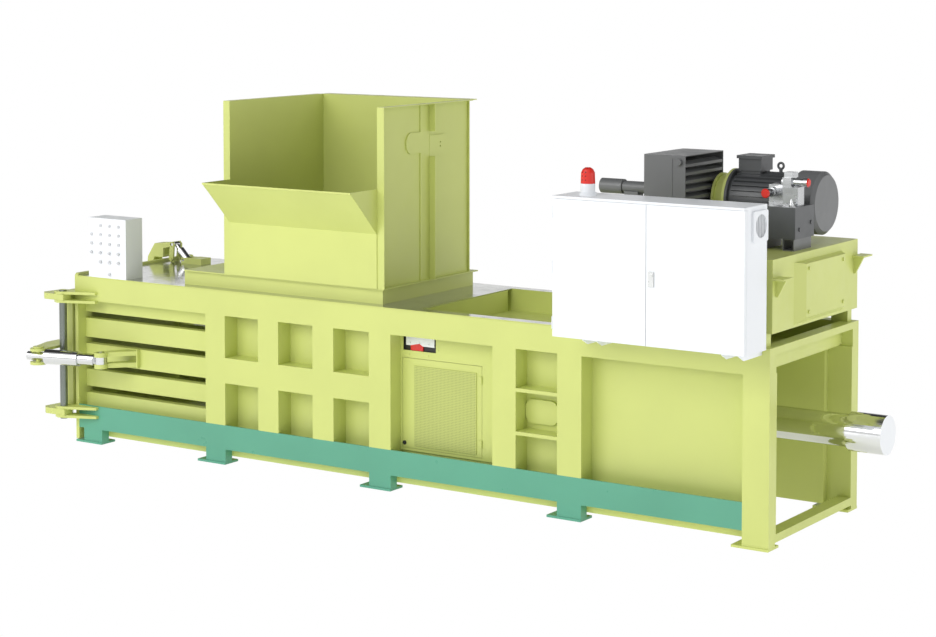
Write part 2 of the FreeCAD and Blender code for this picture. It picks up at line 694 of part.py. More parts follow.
door_rod = rod("door_rod_bar", "X", 34, 180, pin_span - 40, (0, 0))
rod_head = rod("door_rod_head", "X", 37.5, 166, 180, (0, 0))
eye_blank = rod("door_rod_eye", "Z", 36, -eye_h / 2, eye_h / 2, (pin_span, 0))
neck = box("door_rod_neck", (pin_span - 50, pin_span - 20), (-18, 18), (-eye_h / 2, eye_h / 2))
rod_pin = rod("door_rod_pin", "Z", 15, -eye_h / 2 - 30, eye_h / 2 + 30, (pin_span, 0))
door_rod_all = joined("door_rod_body", [door_rod, rod_head, neck, eye_blank, rod_pin])
node("door_rod", swing(door_rod_all, (ax, ay, s.cyl_z), tilt_text))

# ---------------------------------------------------------------- claw lock on the deck
px = front + s.claw_px
pz = deck + 20
rx = front + s.claw_rx
rz = pz + s.claw_rz
bx = front + s.claw_bx
claw_loop = [
    (front - 96, deck - 23), (front - 92, deck + 23), (front - 37, deck + 107), (front + 32, deck + 112),
    (rx, rz + 16), (rx + 16, rz), (px + 17, pz), (px, pz - 17), (px - 17, pz),
    (rx - 16, rz - 14), (front + 32, deck + 80), (front + 32, deck + 26), (front - 38, deck + 26),
    (front - 60, deck - 23),
]
claw_lo = s.claw_y - s.claw_w / 2
claw_hi = s.claw_y + s.claw_w / 2
claws = []
for n, (lo, hi) in enumerate(((claw_lo, claw_lo + s.claw_t), (claw_hi - s.claw_t, claw_hi))):
    cheek = prism(
        "claw_cheek%d" % n, "XZ", [claw_loop], lo, hi,
        bores=[((px, pz), 8 + s.run), ((rx, rz), 11)],
    )
    claws.append(cheek)
inner_y = (claw_lo + s.claw_t, claw_hi - s.claw_t)
claws.append(box("claw_nose", (front - 94, front - 74), inner_y, (deck - 23, deck + 20)))
claws.append(box("claw_bar_low", (front + 20, front + 32), inner_y, (deck + 26, deck + 37)))
bar_top = box("claw_bar_top", (front + 20, front + 32), inner_y, (deck + 81, deck + 112))
claw_roof = box("claw_roof", (front - 37, front + 20), inner_y, (deck + 96, deck + 107))
claws.append(joined("claw_bridge", [bar_top, claw_roof]))
node("lock_claw", group("claw_body", claws))

pedestals = []
for n, lo in enumerate((s.claw_y - 26, s.claw_y + 14)):
    loop = [(px - 14, deck), (px + 14, deck), (px + 14, pz), (px - 14, pz)]
    stand = prism(
        "claw_stand%d" % n, "XZ", [loop], lo, lo + 12, discs=[((px, pz), 14)], bores=[((px, pz), 8)],
    )
    pedestals.append(stand)
claw_pin = rod("claw_pin", "Y", 8, claw_lo - 4, claw_hi + 4, (px, pz))
claw_stand = joined("claw_stand", pedestals + [claw_pin])
cheeks = []
for n, lo in enumerate((s.claw_y - 39, s.claw_y + 27)):
    loop = [(bx - 14, deck), (front + 245, deck), (front + 245, deck + 36), (bx - 14, deck + 34)]
    cheeks.append(prism("foot_cheek%d" % n, "XZ", [loop], lo, lo + 12, bores=[((bx, pz), 8 + s.run)]))
block = box("lock_block", (front + 245, front + 332), (s.claw_y - 39, s.claw_y + 50), (deck, deck + 36))
node("lock_brackets", group("lock_bracket_set", [claw_stand, joined("lock_foot", cheeks + [block])]))

lock_span = hypot(bx - rx, rz - pz)
lean_text = "atan2(%s; %s)" % ((rz - pz).text, (bx - rx).text)


def lean(obj, at, text):
    """Turns a piece modelled along -X about Y by a formula and moves its origin to a point."""
    obj.Placement = FreeCAD.Placement(V(0, 0, 0), FreeCAD.Rotation(V(0, 1, 0), 10))
    obj.setExpression(".Placement.Rotation.Angle", text)
    return place(obj, at)


lock_profile = [
    (0, 0), (0, 25), (-76, 25), (-76, 12 + s.slip), (-66, 12 + s.slip), (-66, 18), (-8, 18), (-8, 0),
]
lock_tube = turned("lock_tube", "X", [(a, r) for a, r in lock_profile], (0, 0, 0))
lock_trunnion = rod("lock_trunnion", "Y", 8, -38, 38, (0, 0))
lock_weld = joined("lock_barrel_weld", [lock_tube, lock_trunnion])
node("lock_barrel", lean(lock_weld, (bx, s.claw_y, pz), lean_text))
lock_bar = rod("lock_bar", "X", 12, -(lock_span - 10), -43, (0, 0))
lock_disc = rod("lock_disc", "X", 17.7, -50.5, -42.5, (0, 0))
lock_cross = rod("lock_cross", "Y", 8, -36, 36, (-lock_span, 0))
lock_eye = rod("lock_eye", "Y", 15, -20, 20, (-lock_span, 0))
lock_rod_weld = joined("lock_rod_weld", [lock_bar, lock_disc, lock_cross, lock_eye])
node("lock_rod", lean(lock_rod_weld, (bx, s.claw_y, pz), lean_text))

# ---------------------------------------------------------------- hopper
base_lo_x = feed_lo - 355
base_hi_x = feed_hi + 18
skirt_top = deck + 78
flange_z = skirt_top + s.wall
skirt_y = half - 79
skirt_loop = [(base_lo_x, -skirt_y), (base_hi_x, -skirt_y), (base_hi_x, skirt_y), (base_lo_x, skirt_y)]
open_y = skirt_y - 8
open_loop = [
    (base_lo_x + 8, -open_y), (base_hi_x - 8, -open_y), (base_hi_x - 8, open_y), (base_lo_x + 8, open_y),
]
skirt = prism("hopper_skirt", "XY", [skirt_loop, open_loop], deck, skirt_top)
rim_y = half - 58
rim_loop = [
    (base_lo_x + 13, -rim_y), (base_hi_x + 21, -rim_y), (base_hi_x + 21, rim_y), (base_lo_x + 13, rim_y),
]
well_y = half - 100
well_loop = [
    (feed_lo, -well_y), (feed_hi, -well_y), (feed_hi, hop_far), (feed_lo, hop_far),
]
base_rim = prism("hopper_rim", "XY", [rim_loop, well_loop], skirt_top, flange_z)
node("hopper_base", joined("hopper_base_weld", [skirt, base_rim]))

t = s.sheet_t
side_out_lo = feed_lo - s.rim
side_out_hi = feed_hi + s.rim
near_y = s.hop_in - half
far_y = hop_far
left_loop = [
    (feed_lo, near_y), (feed_lo, far_y), (feed_lo - t, far_y), (feed_lo - t, near_y + t),
    (side_out_lo, near_y + t), (side_out_lo, near_y),
]
right_loop = [
    (feed_hi, near_y), (side_out_hi, near_y), (side_out_hi, near_y + t), (feed_hi + t, near_y + t),
    (feed_hi + t, far_y), (feed_hi, far_y),
]
left_wall = prism("left_wall", "XY", [left_loop], flange_z, s.hop_top - t)
right_wall = prism("right_wall", "XY", [right_loop], flange_z, s.hop_top - t)
left_cap = box("left_cap", (side_out_lo, feed_lo), (near_y, far_y), (s.hop_top - t, s.hop_top))
right_cap = box("right_cap", (feed_hi, side_out_hi), (near_y, far_y), (s.hop_top - t, s.hop_top))
rib_x0 = feed_hi + t
rib_loop = [
    (rib_x0, -71), (rib_x0 + 6, -71), (rib_x0 + 6, 13), (rib_x0 + 44, 13), (rib_x0 + 44, 19), (rib_x0, 19),
]
angle = prism("hopper_angle", "XY", [rib_loop], flange_z, s.hop_top - t)
notch = box("angle_notch", (rib_x0 + 8, rib_x0 + 50), (10, 25), (1729, 1865))
stiffener = minus("hopper_stiffener", angle, [notch])
doubler_loop = [(-205, 1751), (-71, 1751), (-71, 1865), (-205, 1865)]
doubler = prism(
    "hopper_doubler", "YZ", [doubler_loop], rib_x0, rib_x0 + 8,
    corners=[(50, [doubler_loop[0], doubler_loop[3]])],
)
lug_loop = [(19, 1729), (205, 1729), (205, 1841), (19, 1841)]
lug_plate = prism(
    "hopper_lug", "YZ", [lug_loop], rib_x0, rib_x0 + 8,
    bores=[((115, 1778), 5), ((115, 1800), 5)], corners=[(50, [lug_loop[1], lug_loop[2]])],
)
right_all = joined("right_side", [right_wall, right_cap, stiffener, doubler, lug_plate])
left_all = joined("left_side", [left_wall, left_cap])
node("hopper_sides", group("hopper_side_pair", [left_all, right_all]))

back_loop = [
    (far_y, flange_z), (far_y + t, flange_z), (far_y + t, s.hop_top - t), (far_y + 79, s.hop_top - t),
    (far_y + 79, s.hop_top), (far_y, s.hop_top),
]
node("hopper_back", prism("back_wall", "YZ", [back_loop], feed_lo - 18, feed_hi + 18))

# Front sheet, folded outward at 45 degrees into the chute and hemmed at its lip.
lip_y = near_y - s.lip_out
lip_z = s.chute_z + s.lip_up
front_loop = [
    (near_y, flange_z), (near_y, s.chute_z), (lip_y, lip_z), (lip_y, lip_z - 10), (lip_y + t, lip_z - 10),
    (lip_y + t, lip_z - 7), (near_y - t, s.chute_z - t), (near_y - t, flange_z),
]
front_sheet = prism("front_sheet", "YZ", [front_loop], feed_lo, feed_hi)
cheek_loop = [
    (near_y, s.chute_z), (near_y, lip_z), (lip_y, lip_z), (lip_y, lip_z - t),
]
chute_parts = [front_sheet]
for n, x0 in enumerate((feed_lo, feed_hi - t)):
    chute_parts.append(prism("chute_cheek%d" % n, "YZ", [cheek_loop], x0, x0 + t))
node("hopper_front", joined("hopper_front_weld", chute_parts))

# ---------------------------------------------------------------- oil tank and hydraulics
tank_out = box("tank_outer", (tank_lo, rear), (-tank_side, tank_side), (s.tank_z, tank_top))
tank_in = box(
    "tank_inner", (tank_lo + s.wall, rear - s.wall), (-tank_side + s.wall, tank_side - s.wall),
    (s.tank_z + s.wall, tank_top - s.wall),
)
tank_shell = minus("tank_shell", tank_out, [tank_in])
tank_parts = [tank_shell]
for n, x0 in enumerate((tank_lo + 40, rear - 120)):
    for m, (lo, hi) in enumerate(((-tank_side, -beam_in), (beam_in, tank_side))):
        tank_parts.append(box("tank_leg%d%d" % (n, m), (x0, x0 + 90), (lo, hi), (deck_lo, s.tank_z)))
# Hose brackets: a shelf on two gussets, welded to the rear face.
brackets_y = [(-496, -396), (420, 530)]
bracket_tops = (1296, 1306)
for n, (lo, hi) in enumerate(brackets_y):
    top = bracket_tops[n]
    tank_parts.append(box("hose_shelf%d" % n, (rear, rear + 62), (lo, hi), (top - 8, top)))
    gusset_loop = [(rear, top - 8), (rear + 54, top - 8), (rear + 10, top - 92), (rear, top - 92)]
    middle = (lo + hi) / 2 - (0 if n == 0 else 30)
    tank_parts.append(prism("hose_gusset%d" % n, "XZ", [gusset_loop], middle - 7, middle + 7))
node("oil_tank", joined("tank_body", tank_parts))

# The manhole cover is a shallow pressed hood, lofted from its seat to its flat face.
hood = doc.addObject("PartDesign::Body", "tank_hood")
seat_sketch = sketch_on(hood, "hood_seat", "YZ")
draw_loop(seat_sketch, [(-255, 1045), (290, 1045), (290, 1345), (-255, 1345)])
face_sketch = sketch_on(hood, "hood_face", "YZ")
face_sketch.AttachmentOffset = FreeCAD.Placement(V(0, 0, 34), FreeCAD.Rotation())
draw_loop(face_sketch, [(-188, 1075), (262, 1075), (262, 1335), (-188, 1335)])
doc.recompute()
hood_loft = hood.newObject("PartDesign::AdditiveLoft", "hood_loft")
hood_loft.Profile = seat_sketch
hood_loft.Sections = [face_sketch]
place(hood, (rear, 0, 0))
bolts = [hood]
for n, (y, z) in enumerate(((-160, 1100), (-160, 1310), (236, 1100), (236, 1310))):
    bolts.append(rod("hood_bolt%d" % n, "X", 9, rear + 20, rear + 41, (y, z)))
node("tank_cover", joined("tank_cover_body", bolts))

my = s.motor_y
mz = s.motor_z
motor_lo = front + 3895
motor_hi = front + 4261
frame_profile = [
    (motor_lo, 100), (motor_lo, s.motor_r), (motor_hi, s.motor_r), (motor_hi, 24.3), (motor_hi - 12, 24.3),
    (motor_hi - 12, 100),
]
motor_frame = turned("motor_frame", "X", frame_profile, (0, my, mz))
fins = doc.addObject("PartDesign::Body", "motor_fins")
fin_ring = sketch_on(fins, "fin_ring_outline", "YZ")
draw_circle(fin_ring, (0, 0), s.motor_r + 2)
draw_circle(fin_ring, (0, 0), s.motor_r - 1)
ring_pad = fins.newObject("PartDesign::Pad", "fin_ring")
ring_pad.Profile = fin_ring
bind(ring_pad, "Length", motor_hi - motor_lo - 40)
fin_sketch = sketch_on(fins, "fin_outline", "YZ")
fin_root = s.motor_r + 1
draw_loop(fin_sketch, [(-2, fin_root), (2, fin_root), (2, s.motor_r + s.fin_h), (-2, s.motor_r + s.fin_h)])
fin_pad = fins.newObject("PartDesign::Pad", "fin")
fin_pad.Profile = fin_sketch
bind(fin_pad, "Length", motor_hi - motor_lo - 40)
doc.recompute()
fin_array = fins.newObject("PartDesign::PolarPattern", "fin_array")
fin_array.Originals = [fin_pad]
fin_array.Axis = (origin_part(fins, "X_Axis"), [""])
fin_array.Angle = 360
fin_array.Occurrences = 32
fins.Tip = fin_array
place(fins, (motor_lo + 30, my, mz))
rail_top = tank_top + 42
feet_parts = []
for n, y0 in enumerate((my - 137, my + 77)):
    foot_span = (motor_lo + 55, motor_hi - 55)
    feet_parts.append(box("motor_foot%d" % n, foot_span, (y0, y0 + 60), (rail_top, rail_top + 18)))
    shank_y = (y0 + 36, y0 + 60) if n == 0 else (y0, y0 + 24)
    feet_parts.append(box("motor_shank%d" % n, foot_span, shank_y, (rail_top + 18, rail_top + 90)))
term_neck = box("terminal_neck", (motor_lo + 52, motor_lo + 158), (my - 55, my + 55), (mz + 110, mz + 150))
term_body = box("terminal_body", (motor_lo + 42, motor_lo + 168), (my - 65, my + 65), (mz + 147, mz + 208))
term_lid = box("terminal_lid", (motor_lo + 35, motor_lo + 175), (my - 75, my + 75), (mz + 208, mz + 224))
eye_stem = rod("eye_stem", "Z", 9, mz + 130, mz + 160, (motor_lo + 245, my))
eye_ring = doc.addObject("Part::Torus", "eye_ring")
eye_ring.Radius1 = 15
eye_ring.Radius2 = 6
eye_ring.Placement = FreeCAD.Placement(V(0, 0, 0), FreeCAD.Rotation(V(1, 0, 0), 90))
place(eye_ring, (motor_lo + 245, my, mz + 174))
flange_profile = [(motor_lo, 100), (motor_lo, 150), (motor_lo + 14, 150), (motor_lo + 14, 100)]
motor_flange = turned("motor_flange", "X", flange_profile, (0, my, mz))
motor_parts = [motor_frame, fins, motor_flange, term_neck, term_body, term_lid, eye_stem, eye_ring]
node("main_motor", joined("motor_body", motor_parts + feet_parts))

cowl_lo = motor_hi
cowl_hi = cowl_lo + 130
cowl_profile = [
    (cowl_lo, s.cowl_r - 4), (cowl_lo, s.cowl_r), (cowl_hi - 18, s.cowl_r), (cowl_hi, s.cowl_r - 18),
    (cowl_hi, 0), (cowl_hi - 4, 0), (cowl_hi - 4, s.cowl_r - 20), (cowl_hi - 20, s.cowl_r - 4),
]
cowl = turned("cowl_shell", "X", cowl_profile, (0, my, mz))
seat_profile = [
    (cowl_lo, s.motor_r - 2), (cowl_lo, s.cowl_r - 2), (cowl_lo + 4, s.cowl_r - 2),
    (cowl_lo + 4, s.motor_r - 2),
]
cowl_ring = turned("cowl_seat", "X", seat_profile, (0, my, mz))
node("fan_cowl", joined("cowl_body", [cowl, cowl_ring]))

bell_lo = front + 3810
bell_profile = [
    (bell_lo, 60), (bell_lo, 125), (bell_lo + 12, 125), (bell_lo + 12, 112), (motor_lo - 14, 132),
    (motor_lo - 14, 150), (motor_lo, 150), (motor_lo, 100), (motor_lo - 20, 100), (bell_lo + 20, 92),
    (bell_lo + 20, 60),
]
bell = turned("bell_shell", "X", bell_profile, (0, my, mz))
suction = rod("pump_suction", "Z", 20, tank_top, mz - 105, (bell_lo + 36, my))
pump_profile = [
    (bell_lo - 8, 0), (bell_lo - 8, 84), (bell_lo, 84), (bell_lo, 59.5), (bell_lo + 20, 59.5),
    (bell_lo + 20, 0),
]
pump = turned("pump_body", "X", pump_profile, (0, my, mz))
node("pump_unit", group("pump_unit_set", [joined("bell_weld", [bell, suction]), pump]))

shaft_profile = [
    (bell_lo + 24, 0), (bell_lo + 24, 52), (bell_lo + 60, 52), (bell_lo + 60, 24), (motor_lo + 60, 24),
    (motor_lo + 60, 96), (motor_hi - 60, 96), (motor_hi - 60, 24), (cowl_lo + 60, 24), (cowl_lo + 60, 40),
    (cowl_lo + 66, 140), (cowl_lo + 70, 140), (cowl_lo + 76, 40), (cowl_lo + 100, 24), (cowl_lo + 100, 0),
]
rotor = turned("rotor_shaft", "X", shaft_profile, (0, my, mz))
blades = []
for n in range(3):
    bar = box("fan_bar%d" % n, (cowl_lo + 30, cowl_lo + 66), (-135, 135), (-2, 2))
    bar.Placement = FreeCAD.Placement(V(0, 0, 0), FreeCAD.Rotation(V(1, 0, 0), 60 * n))
    angle = math.radians(60 * n)
    spot = (cowl_lo + 30, my - 135 * math.cos(angle) + 2 * math.sin(angle),
            mz - 135 * math.sin(angle) - 2 * math.cos(angle))
    blades.append(place(bar, spot))
node("motor_rotor", joined("rotor_body", [rotor] + blades))

# Oil cooler: a shroud with a louvred matrix at its +X face and a fan opening at the other.
cool_lo = front + 3565
cool_hi = front + 3798
cool_y = (-150, 262)
fan_axis = (56, tank_top + 240)
cool_top = tank_top + 434
cool_out = box("cooler_outer", (cool_lo, cool_hi), cool_y, (tank_top + 30, cool_top))
cool_void = box("cooler_void", (cool_lo + 4, cool_hi + 1), (-146, 258), (tank_top + 34, cool_top - 4))
fan_hole = rod("cooler_fan_hole", "X", 118, cool_lo - 5, cool_lo + 10, fan_axis)
groove = box("cooler_groove", (cool_lo + 160, cool_lo + 172), (-152, -148), (tank_top + 46, cool_top - 16))
shroud = minus("cooler_shroud", cool_out, [cool_void, fan_hole, groove])
rows = []
for n in range(9):
    loop = [(cool_hi - 46, 0), (cool_hi - 2, 0), (cool_hi - 2, 14), (cool_hi - 46, 26)]
    blade = prism("slat%d" % n, "XZ", [[(a, tank_top + 48 + 41 * n + b) for a, b in loop]], -147, 259)
    rows.append(blade)
union = rod("cooler_union", "Y", 17, -166, -148, (cool_lo + 199, cool_top - 32))
plinths = []
for n, y0 in enumerate((-150, 222)):
    plinths.append(box("cooler_foot%d" % n, (cool_lo, cool_hi), (y0, y0 + 40), (tank_top, tank_top + 31)))
cool_parts = [shroud] + rows + [union] + plinths
cooler = joined("cooler_body", cool_parts)

fan_profile = [
    (cool_lo + 30, 0), (cool_lo + 30, 30), (cool_lo + 62, 30), (cool_lo + 62, 0),
]
fan_hub = turned("cooler_hub", "X", fan_profile, (0, fan_axis[0], fan_axis[1]))
fan_spindle = rod("cooler_spindle", "X", 9, cool_lo - 70, cool_lo + 40, fan_axis)
fan_blades = []
for n in range(3):
    bar = box("cooler_blade%d" % n, (cool_lo + 36, cool_lo + 56), (-112, 112), (-3, 3))
    bar.Placement = FreeCAD.Placement(V(0, 0, 0), FreeCAD.Rotation(V(1, 0, 0), 60 * n))
    angle = math.radians(60 * n)
    spot = (cool_lo + 36, fan_axis[0] - 112 * math.cos(angle) + 3 * math.sin(angle),
            fan_axis[1] - 112 * math.sin(angle) - 3 * math.cos(angle))
    fan_blades.append(place(bar, spot))
node("cooler_fan", joined("cooler_fan_body", [fan_hub, fan_spindle] + fan_blades))

cm_lo = cool_lo - 360
cm_profile = [
    (cm_lo, 0), (cm_lo, 39), (cm_lo + 130, 39), (cm_lo + 130, 31), (cm_lo + 260, 31), (cm_lo + 260, 37),
    (cool_lo - 34, 37), (cool_lo - 34, 9 + s.run), (cool_lo - 80, 9 + s.run), (cool_lo - 80, 0),
]
cm_body = turned("cooler_motor_body", "X", cm_profile, (0, fan_axis[0], fan_axis[1]))
cm_foot = box("cooler_motor_foot", (cm_lo + 145, cm_lo + 225), (26, 86), (tank_top, tank_top + 220))
node("oil_cooler", group("cooler_set", [cooler, joined("cooler_motor_weld", [cm_body, cm_foot])]))

# Valve manifold on two channel supports, with two cartridge valves and their knobs.
vb_lo = front + 4160
vb_hi = front + 4401
vb_z = tank_top + 58
channels = []
for n, x0 in enumerate((vb_lo + 10, vb_hi - 70)):
    channels.append(tube("valve_support%d" % n, (x0, x0 + 60), (-150, 45), (tank_top, vb_z), "Y", 5))
manifold = box("manifold", (vb_lo, vb_hi), (-160, 55), (vb_z, vb_z + 154))
deck_v = vb_z + 154
pillar_a = box("valve_pillar_a", (front + 4204, front + 4284), (-42, 40), (deck_v, deck_v + 96))
pillar_b = box("valve_pillar_b", (front + 4303, front + 4384), (-95, -25), (deck_v, deck_v + 92))
low_at = (front + 4242, deck_v + 62)
low_body = turned(
    "valve_low", "Y",
    [(-142, 0), (-142, 19), (-98, 21), (-98, 25), (-42, 25), (-42, 0)], (low_at[0], 0, low_at[1])
)
high_z = deck_v + 115
high_body = turned(
    "valve_high", "X",
    [(front + 4292, 0), (front + 4292, 24), (front + 4350, 24), (front + 4350, 20), (front + 4404, 18),
     (front + 4404, 0)], (0, -60, high_z)
)
high_block = box("valve_high_block", (front + 4300, front + 4346), (-92, -28), (deck_v + 92, deck_v + 138))
coil = box("valve_coil", (front + 4306, front + 4356), (-86, -34), (deck_v + 138, deck_v + 164))
tall_nut = rod("valve_nut", "Z", 15, deck_v + 96, deck_v + 116, (front + 4262, 0))
breather = turned(
    "breather", "Z", [(0, 0), (0, 11), (10, 11), (38, 3), (38, 0)], (front + 4364, -126, deck_v)
)
ports = []
for n, (y, z) in enumerate(((-110, 44), (20, 70))):
    ports.append(rod("port_plug%d" % n, "X", 10, vb_hi, vb_hi + 5, (y, vb_z + z)))
valve_parts = [manifold, pillar_a, pillar_b, low_body, high_body, high_block, coil, tall_nut, breather]
node("valve_block", joined("valve_weld", valve_parts + ports + channels))
knob_low = turned(
    "knob_low", "Y", [(-166, 0), (-166, 17), (-160, 23), (-142 - s.slip, 23), (-142 - s.slip, 0)],
    (low_at[0], 0, low_at[1])
)
node("valve_knob_low", knob_low)
knob_from = front + 4404 + s.slip
top_profile = [
    (knob_from, 0), (knob_from, 22), (knob_from + 18, 22), (knob_from + 24, 16), (knob_from + 24, 0),
]
knob_top = turned("knob_top", "X", top_profile, (0, -60, high_z))
node("valve_knob_high", knob_top)

# ---------------------------------------------------------------- electrical cabinet
cab_lo = front + s.cab_x
cab_hi = cab_lo + s.cab_len
cab_mid = cab_lo + s.cab_len / 2
cab_y0 = -half - s.cab_near
cab_y1 = cab_y0 + s.cab_depth
cab_top = s.cab_z + s.cab_h
leaf_t = 22
shell_out = box("cabinet_outer", (cab_lo, cab_hi), (cab_y0 + leaf_t, cab_y1), (s.cab_z, cab_top - 12))
shell_in = box(
    "cabinet_inner", (cab_lo + 4, cab_hi - 4), (cab_y0 + leaf_t - 5, cab_y1 - 4), (s.cab_z + 4, cab_top - 16)
)
vent_y = cab_y0 + 144
vent_z = s.cab_z + 592
vent = rod("cabinet_vent", "X", 55, cab_hi - 10, cab_hi + 10, (vent_y, vent_z))
shell = minus("cabinet_shell", shell_out, [shell_in, vent])
roof_sheet = box("cabinet_roof", (cab_lo, cab_hi), (cab_y0 - 8, cab_y1), (cab_top - 12, cab_top))
arms = []
for n, (lo, hi) in enumerate(((152, 236), (899, 992))):
    x0 = cab_lo + lo
    x1 = cab_lo + hi
    z0 = s.cab_z - 33
    z1 = s.cab_z
    arm_loop = [
        (x0, z0), (x0 + 5, z0), (x0 + 5, z1 - 5), (x1 - 5, z1 - 5), (x1 - 5, z0), (x1, z0), (x1, z1),
        (x0, z1),
    ]
    arm_bar = prism("cab_arm_bar%d" % n, "XZ", [arm_loop], cab_y0 + 30, -half)
    taper_loop = [(cab_y0 + 29, z0 - 1), (cab_y0 + 80, z0 - 1), (cab_y0 + 29, z1 - 8)]
    taper = prism("cab_arm_taper%d" % n, "YZ", [taper_loop], x0 - 1, x1 + 1)
    arms.append(minus("cab_arm%d" % n, arm_bar, [taper]))
vent_loop = [
    (vent_y - 74, vent_z - 74), (vent_y + 74, vent_z - 74), (vent_y + 74, vent_z + 71),
    (vent_y - 74, vent_z + 71),
]
vent_ring = prism(
    "vent_ring", "YZ", [vent_loop], cab_hi, cab_hi + 12, bores=[((vent_y, vent_z), 55)],
    corners=[(10, vent_loop)]
)
vent_bars = []
for n in range(7):
    bar_y = vent_y - 48 + 16 * n
    reach = math.sqrt(57 ** 2 - (48 - 16 * n) ** 2)
    vent_bars.append(box("vent_bar%d" % n, (cab_hi + 3, cab_hi + 9), (bar_y - 2.5, bar_y + 2.5),
                         (vent_z - reach, vent_z + reach)))
vent_cover = joined("vent_cover", [vent_ring] + vent_bars)
cabinet = joined("cabinet_weld", [shell, roof_sheet, vent_cover])
node("cabinet_body", group("cabinet_set", [cabinet] + arms))

gear_z = (s.cab_z + 40, cab_top - 60)
back_plate = box("gear_plate", (cab_lo + 40, cab_hi - 40), (cab_y1 - 14, cab_y1 - 4), gear_z)
gear = [back_plate]
gear_sizes = (
    (80, 200, 90, 110, 90), (330, 120, 90, 140, 110), (80, 380, 300, 90, 80),
    (560, 360, 90, 100, 90), (560, 150, 290, 200, 120), (760, 160, 290, 120, 80),
)
for n, (x0, w, z0, h, d) in enumerate(gear_sizes):
    spot_y = (cab_y1 - 14 - d, cab_y1 - 14)
    gear.append(box("gear%d" % n, (cab_lo + x0, cab_lo + x0 + w), spot_y, (s.cab_z + z0, s.cab_z + z0 + h)))
node("switchgear", joined("gear_body", gear))

hinge_y0 = cab_y0 + leaf_t / 2
door_z = (s.cab_z + 2, cab_top - 14)


def leaf(name, x0, x1, hinge_at):
    """A cabinet leaf: a flat pan with a turned rim, on three hinge knuckles."""
    out = box(name + "_out", (x0, x1), (cab_y0, cab_y0 + leaf_t - s.slip), door_z)
    hollow = box(name + "_in", (dim(x0) + 3, dim(x1) - 3), (cab_y0 + 3, cab_y0 + leaf_t + 2),
                 (door_z[0] + 3, door_z[1] - 3))
    parts = [minus(name + "_pan", out, [hollow])]
    for n, share in enumerate((0.1, 0.5, 0.9)):
        level = door_z[0] + (door_z[1] - door_z[0]) * share
        parts.append(rod("%s_knuckle%d" % (name, n), "Z", 4, level - 30, level + 30, (hinge_at, cab_y0)))
    return joined(name + "_leaf", parts)


node("cabinet_door_left", leaf("leaf_left", cab_lo + 1, cab_mid - 1.5, cab_lo + 1))
node("cabinet_door_right", leaf("leaf_right", cab_mid + 1.5, cab_hi - 1, cab_hi - 1))
handle_plate = box("handle_grip", (cab_mid + 16, cab_mid + 44), (cab_y0 - 7, cab_y0 - s.slip), (1252, 1323))
handle_stem = rod("handle_stem", "Y", 9, cab_y0 - 10, cab_y0 - 5, (cab_mid + 30, 1305))
node("cabinet_handle", joined("handle_body", [handle_plate, handle_stem]))

beacon_at = (cab_lo + 136, cab_y0 + 106, cab_top)
beacon_foot = turned("beacon_foot", "Z", [(0, 0), (0, 42), (14, 42), (14, 35), (57, 35), (57, 0)], beacon_at)
dome = turned("beacon_dome", "Z", [(57, 0), (57, 35.5), (110, 34), (126, 26), (135, 12), (135, 0)], beacon_at)
node("beacon", group("beacon_set", [beacon_foot, dome]))

# ---------------------------------------------------------------- control box
ctl_lo = front + s.box_x
ctl_hi = ctl_lo + s.box_len
ctl_y0 = s.box_near - half
ctl_y1 = ctl_y0 + s.box_depth
ctl_top = deck + s.box_h
key_x0 = ctl_lo + s.box_len / 2 - s.key_pitch_x * 1.5 - 13
key_rows = [ctl_top - 43 - s.key_pitch_z * n for n in range(5)]
key_spots = []
for r, first in ((3, 0), (4, 1)):
    key_spots += [(key_x0 + s.key_pitch_x * c, key_rows[r]) for c in range(first, 4)]
key_spots.append((key_x0 + s.key_pitch_x * 2, ctl_top - 320))
ctl_outer = [(ctl_lo, deck), (ctl_hi, deck), (ctl_hi, ctl_top), (ctl_lo, ctl_top)]
panel = prism(
    "control_panel", "XZ", [ctl_outer], ctl_y0, ctl_y0 + 4,
    bores=[(spot, s.key_r - 2 + s.slip) for spot in key_spots],
)
ctl_wall = [
    (ctl_lo + 3, deck + 3), (ctl_hi - 3, deck + 3), (ctl_hi - 3, ctl_top - 3), (ctl_lo + 3, ctl_top - 3),
]
ctl_ring = prism("control_walls", "XZ", [ctl_outer, ctl_wall], ctl_y0 + 3.5, ctl_y1 - 3)
ctl_back = box("control_back", (ctl_lo, ctl_hi), (ctl_y1 - 3.5, ctl_y1), (deck, ctl_top))
node("control_box", joined("control_body", [panel, ctl_ring, ctl_back]))

lamps = []
for r, first in ((0, 1), (1, 0), (2, 0)):
    for c in range(first, 4):
        at = (key_x0 + s.key_pitch_x * c, key_rows[r])
        lamps.append(rod("lamp%d%d" % (r, c), "Y", s.key_r, ctl_y0 - 8, ctl_y0, at))
node("lamps", group("lamp_set", lamps))

for n, (kx, kz) in enumerate(key_spots):
    cap = rod("key_cap%d" % n, "Y", s.key_r, ctl_y0 - 13, ctl_y0 - 5, (kx, kz))
    stem = rod("key_stem%d" % n, "Y", s.key_r - 2, ctl_y0 - 6, ctl_y0 + 8, (kx, kz))
    stop = rod("key_stop%d" % n, "Y", s.key_r + 1, ctl_y0 + 4 + s.slip, ctl_y0 + 8, (kx, kz))
    node("button_%d" % (n + 1), joined("key%d" % n, [cap, stem, stop]))

